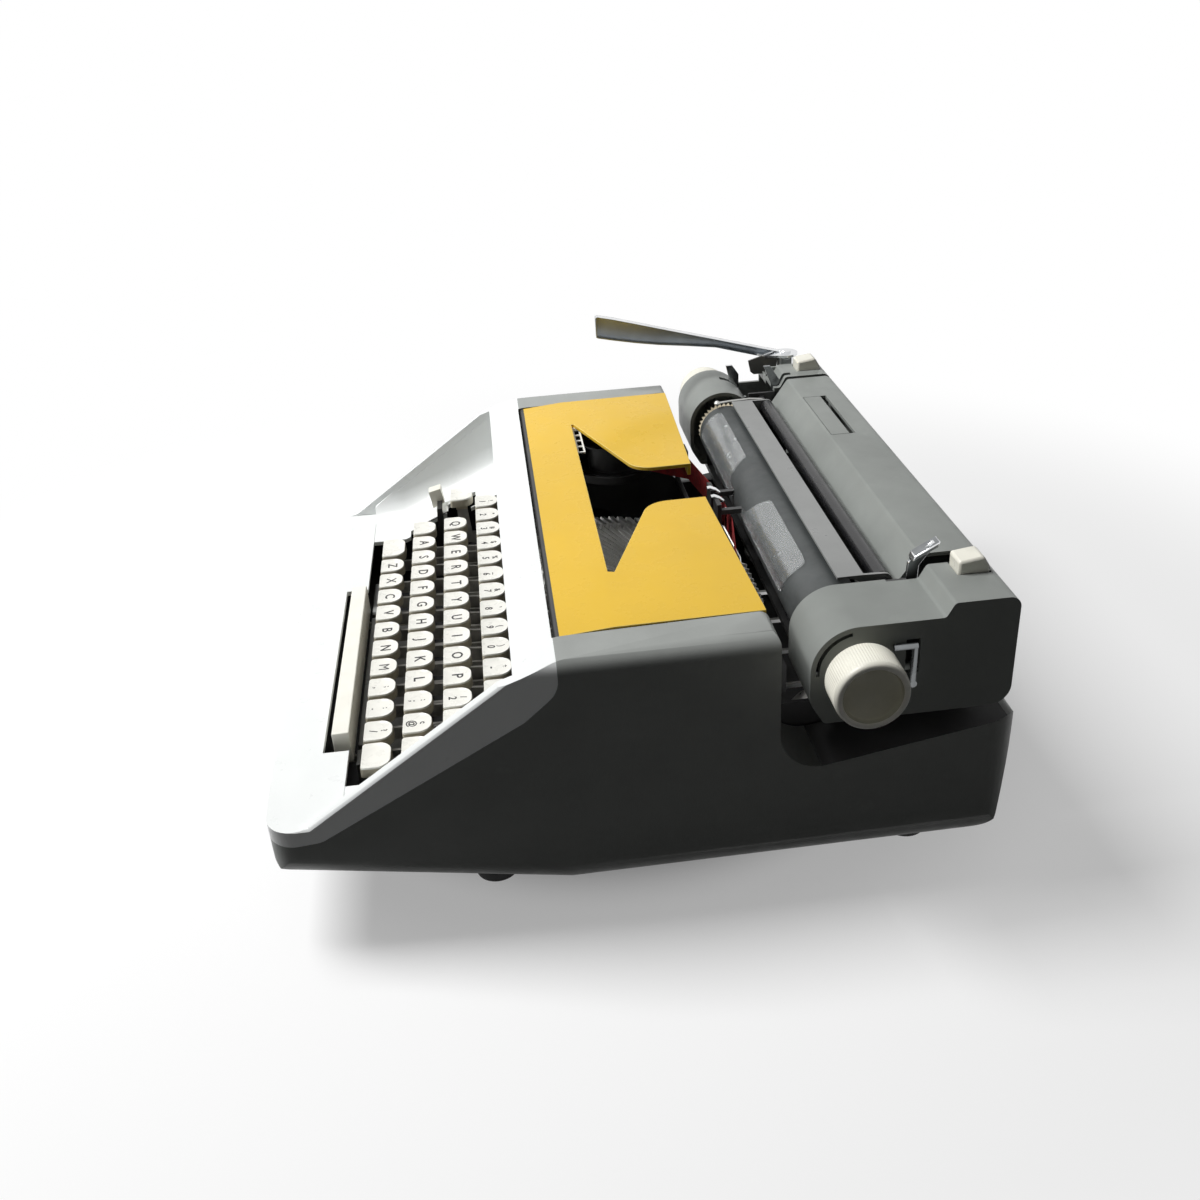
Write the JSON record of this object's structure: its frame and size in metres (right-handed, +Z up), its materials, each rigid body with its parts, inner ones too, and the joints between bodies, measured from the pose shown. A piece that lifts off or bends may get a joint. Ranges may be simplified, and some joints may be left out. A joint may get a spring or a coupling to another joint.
{
  "type": "manual typewriter",
  "caption": "Portable manual typewriter with a wedge body, hinged ribbon cover, key levers, typebar basket, sliding carriage with platen and knobs, and a folded return lever.",
  "frame": {"origin": "middle of the outline on the desk, under the feet", "axes": "+X to the typist's right, +Y to the back, +Z up"},
  "size_m": [0.376, 0.3342, 0.177],
  "materials": {
    "body_grey": "satin",
    "frame_white": "satin",
    "cover_yellow": "gloss",
    "key_white": "gloss",
    "ivory": "gloss",
    "steel": "satin",
    "chrome": "polished",
    "grey_plate": "satin",
    "black_paint": "satin",
    "platen_rubber": "matte",
    "black_rubber": "matte",
    "ribbon_red": "matte",
    "clear": "gloss",
    "brass": "satin",
    "beige": "matte"
  },
  "bodies": {
    "body": {"lower_body": "body_grey", "keyboard_frame": "frame_white", "bottom_plate": "steel", "feet": "black_rubber", "bottom_screws": "steel", "side_frames": "steel", "front_cross_plate": "grey_plate", "key_comb": "steel", "key_pivot_rod": "steel", "carriage_rails": "steel", "card_holders": "clear", "type_guide": "black_paint", "spool_cups": "black_paint", "ribbon": "ribbon_red", "bell": "steel", "hinge_pins": "steel"},
    "cover": {"ribbon_cover": "cover_yellow"},
    "type_basket": {"segment": "black_paint", "typebars": "steel"},
    "carriage": {"carriage_frame": "grey_plate", "left_end_cover": "body_grey", "right_end_cover": "body_grey", "top_cover": "body_grey", "paper_table": "steel"},
    "platen_unit": {"platen": "platen_rubber", "platen_shaft": "steel", "left_knob": "ivory", "right_knob": "ivory", "line_ratchet": "beige"},
    "left_spool": {"left_spool": "black_paint"},
    "right_spool": {"right_spool": "black_paint"},
    "lone_typebar": {"lone_typebar": "steel"},
    "lone_letter_key": {"lone_letter_key": "key_white"},
    "ribbon_vibrator": {"ribbon_vibrator": "steel"},
    "key_row_1": {"key_row_1": "key_white"},
    "key_row_2": {"key_row_2": "key_white"},
    "key_row_3": {"key_row_3": "key_white"},
    "key_row_4": {"key_row_4": "key_white"},
    "space_bar": {"space_bar": "key_white"},
    "left_shift_key": {"left_shift_key": "key_white"},
    "right_shift_key": {"right_shift_key": "key_white"},
    "shift_lock_key": {"shift_lock_key": "key_white"},
    "backspace_key": {"backspace_key": "key_white"},
    "tab_key": {"tab_key": "key_white"},
    "colour_selector": {"colour_selector": "key_white"},
    "mainspring_drum": {"mainspring_drum": "steel"},
    "escape_wheel": {"escape_wheel": "brass"},
    "paper_support": {"paper_support": "body_grey"},
    "front_feed_roller": {"front_feed_roller": "black_rubber"},
    "rear_feed_roller": {"rear_feed_roller": "black_rubber"},
    "paper_bail": {"paper_bail": "grey_plate"},
    "rear_paper_roller": {"rear_paper_roller": "black_rubber"},
    "return_lever": {"return_lever": "chrome"},
    "line_space_lever": {"line_space_lever": "chrome"},
    "paper_release_lever": {"paper_release_lever": "chrome"},
    "left_release_lever": {"left_release_lever": "chrome"},
    "right_release_lever": {"right_release_lever": "chrome"},
    "left_margin_key": {"left_margin_key": "ivory"},
    "right_margin_key": {"right_margin_key": "ivory"}
  },
  "joints": [
    {"name": "cover_hinge", "type": "hinge", "parent": "body", "child": "cover", "pos_m": [0, -0.0304, 0.1269], "axis": [1, 0, 0], "range_deg": [0, 75]},
    {"name": "left_spool_turn", "type": "hinge", "parent": "body", "child": "left_spool", "pos_m": [-0.108, 0.02, 0.1], "axis": [0, 0, 1], "continuous": true},
    {"name": "right_spool_turn", "type": "hinge", "parent": "body", "child": "right_spool", "pos_m": [0.108, 0.02, 0.1], "axis": [0, 0, 1], "continuous": true},
    {"name": "basket_shift", "type": "slide", "parent": "body", "child": "type_basket", "axis": [0, 0, -1], "range_m": [0, 0.006], "stiffness_N_per_m": 800, "springref_m": -0.01},
    {"name": "lone_typebar_swing", "type": "hinge", "parent": "type_basket", "child": "lone_typebar", "pos_m": [0, 0.02145, 0.07243], "axis": [-1, 0, 0], "range_deg": [0, 116], "stiffness_Nm_per_rad": 0.0015, "springref_deg": -34.38},
    {"name": "lone_letter_key_press", "type": "hinge", "parent": "body", "child": "lone_letter_key", "pos_m": [0, 0.045, 0.046], "axis": [1, 0, 0], "range_deg": [0, 4]},
    {"name": "ribbon_vibrator_lift", "type": "slide", "parent": "body", "child": "ribbon_vibrator", "axis": [0, 0, 1], "range_m": [0, 0.007]},
    {"name": "key_row_1_press", "type": "hinge", "parent": "body", "child": "key_row_1", "pos_m": [0, 0.045, 0.046], "axis": [1, 0, 0], "range_deg": [0, 4], "stiffness_Nm_per_rad": 1, "springref_deg": -6.88},
    {"name": "key_row_2_press", "type": "hinge", "parent": "body", "child": "key_row_2", "pos_m": [0, 0.045, 0.046], "axis": [1, 0, 0], "range_deg": [0, 4], "stiffness_Nm_per_rad": 1, "springref_deg": -6.88},
    {"name": "key_row_3_press", "type": "hinge", "parent": "body", "child": "key_row_3", "pos_m": [0, 0.045, 0.046], "axis": [1, 0, 0], "range_deg": [0, 4], "stiffness_Nm_per_rad": 1, "springref_deg": -6.88},
    {"name": "key_row_4_press", "type": "hinge", "parent": "body", "child": "key_row_4", "pos_m": [0, 0.045, 0.046], "axis": [1, 0, 0], "range_deg": [0, 4], "stiffness_Nm_per_rad": 1, "springref_deg": -6.88},
    {"name": "space_bar_press", "type": "hinge", "parent": "body", "child": "space_bar", "pos_m": [0, 0.045, 0.046], "axis": [1, 0, 0], "range_deg": [0, 2.6], "stiffness_Nm_per_rad": 1, "springref_deg": -6.88},
    {"name": "left_shift_press", "type": "hinge", "parent": "body", "child": "left_shift_key", "pos_m": [0, 0.045, 0.046], "axis": [1, 0, 0], "range_deg": [0, 4]},
    {"name": "right_shift_press", "type": "hinge", "parent": "body", "child": "right_shift_key", "pos_m": [0, 0.045, 0.046], "axis": [1, 0, 0], "range_deg": [0, 4]},
    {"name": "shift_lock_press", "type": "hinge", "parent": "body", "child": "shift_lock_key", "pos_m": [0, 0.045, 0.046], "axis": [1, 0, 0], "range_deg": [0, 4]},
    {"name": "backspace_press", "type": "hinge", "parent": "body", "child": "backspace_key", "pos_m": [0, 0.045, 0.046], "axis": [1, 0, 0], "range_deg": [0, 4], "stiffness_Nm_per_rad": 0.2, "springref_deg": -6.88},
    {"name": "tab_press", "type": "hinge", "parent": "body", "child": "tab_key", "pos_m": [0, 0.045, 0.046], "axis": [1, 0, 0], "range_deg": [0, 4], "stiffness_Nm_per_rad": 0.2, "springref_deg": -6.88},
    {"name": "colour_selector_tilt", "type": "hinge", "parent": "body", "child": "colour_selector", "pos_m": [-0.1214, -0.088, 0.058], "axis": [1, 0, 0], "range_deg": [-8, 8]},
    {"name": "carriage_travel", "type": "slide", "parent": "body", "child": "carriage", "axis": [1, 0, 0], "range_m": [-0.1, 0.1]},
    {"name": "mainspring_turn", "type": "hinge", "parent": "body", "child": "mainspring_drum", "pos_m": [-0.092, 0.122, 0.04], "axis": [0, 0, 1], "range_deg": [-265, 265]},
    {"name": "escape_turn", "type": "hinge", "parent": "body", "child": "escape_wheel", "pos_m": [0.02, 0.122, 0.062], "axis": [0, 0, 1], "range_deg": [-390, 390]},
    {"name": "platen_turn", "type": "hinge", "parent": "carriage", "child": "platen_unit", "pos_m": [0, 0.0901, 0.1144], "axis": [1, 0, 0], "continuous": true},
    {"name": "front_feed_turn", "type": "hinge", "parent": "carriage", "child": "front_feed_roller", "pos_m": [0, 0.08481, 0.09465], "axis": [1, 0, 0], "continuous": true},
    {"name": "rear_feed_turn", "type": "hinge", "parent": "carriage", "child": "rear_feed_roller", "pos_m": [0, 0.09539, 0.09465], "axis": [1, 0, 0], "continuous": true},
    {"name": "paper_bail_lift", "type": "hinge", "parent": "carriage", "child": "paper_bail", "pos_m": [0, 0.114, 0.1295], "axis": [-1, 0, 0], "range_deg": [0, 55]},
    {"name": "rear_roller_turn", "type": "hinge", "parent": "carriage", "child": "rear_paper_roller", "pos_m": [0, 0.114, 0.1295], "axis": [1, 0, 0], "continuous": true},
    {"name": "paper_support_lift", "type": "hinge", "parent": "carriage", "child": "paper_support", "pos_m": [-0.054, 0.1403, 0.1374], "axis": [-1, 0, 0], "range_deg": [0, 88]},
    {"name": "return_lever_pull", "type": "hinge", "parent": "carriage", "child": "return_lever", "pos_m": [-0.158, 0.138, 0.14], "axis": [0, 0, 1], "range_deg": [0, 30], "stiffness_Nm_per_rad": 0.3, "springref_deg": -17.19},
    {"name": "line_space_set", "type": "hinge", "parent": "carriage", "child": "line_space_lever", "pos_m": [-0.15, 0.103, 0.12], "axis": [1, 0, 0], "range_deg": [-10, 10]},
    {"name": "paper_release_pull", "type": "hinge", "parent": "carriage", "child": "paper_release_lever", "pos_m": [0.125, 0.124, 0.114], "axis": [1, 0, 0], "range_deg": [0, 14]},
    {"name": "left_release_push", "type": "hinge", "parent": "carriage", "child": "left_release_lever", "pos_m": [-0.127, 0.124, 0.114], "axis": [1, 0, 0], "range_deg": [0, 8], "stiffness_Nm_per_rad": 0.1, "springref_deg": -17.19},
    {"name": "right_release_push", "type": "hinge", "parent": "carriage", "child": "right_release_lever", "pos_m": [0.168, 0.113, 0.106], "axis": [1, 0, 0], "range_deg": [0, 15], "stiffness_Nm_per_rad": 0.1, "springref_deg": -17.19},
    {"name": "left_margin_press", "type": "slide", "parent": "carriage", "child": "left_margin_key", "axis": [0, 0, -1], "range_m": [0, 0.004], "stiffness_N_per_m": 300, "springref_m": -0.004},
    {"name": "right_margin_press", "type": "slide", "parent": "carriage", "child": "right_margin_key", "axis": [0, 0, -1], "range_m": [0, 0.004], "stiffness_N_per_m": 300, "springref_m": -0.004}
  ],
  "couplings": [
    {"joint": "right_spool_turn", "follows": "left_spool_turn", "ratio": 1},
    {"joint": "lone_letter_key_press", "follows": "lone_typebar_swing", "ratio": 0.0344},
    {"joint": "ribbon_vibrator_lift", "follows": "lone_typebar_swing", "m_per_rad": 0.00345},
    {"joint": "left_shift_press", "follows": "basket_shift", "rad_per_m": 11.6},
    {"joint": "right_shift_press", "follows": "basket_shift", "rad_per_m": 11.6},
    {"joint": "shift_lock_press", "follows": "basket_shift", "rad_per_m": 11.6},
    {"joint": "mainspring_turn", "follows": "carriage_travel", "rad_per_m": 45.45},
    {"joint": "escape_turn", "follows": "carriage_travel", "rad_per_m": 66.7},
    {"joint": "front_feed_turn", "follows": "platen_turn", "ratio": -4.025},
    {"joint": "rear_feed_turn", "follows": "platen_turn", "ratio": -4.025}
  ]
}
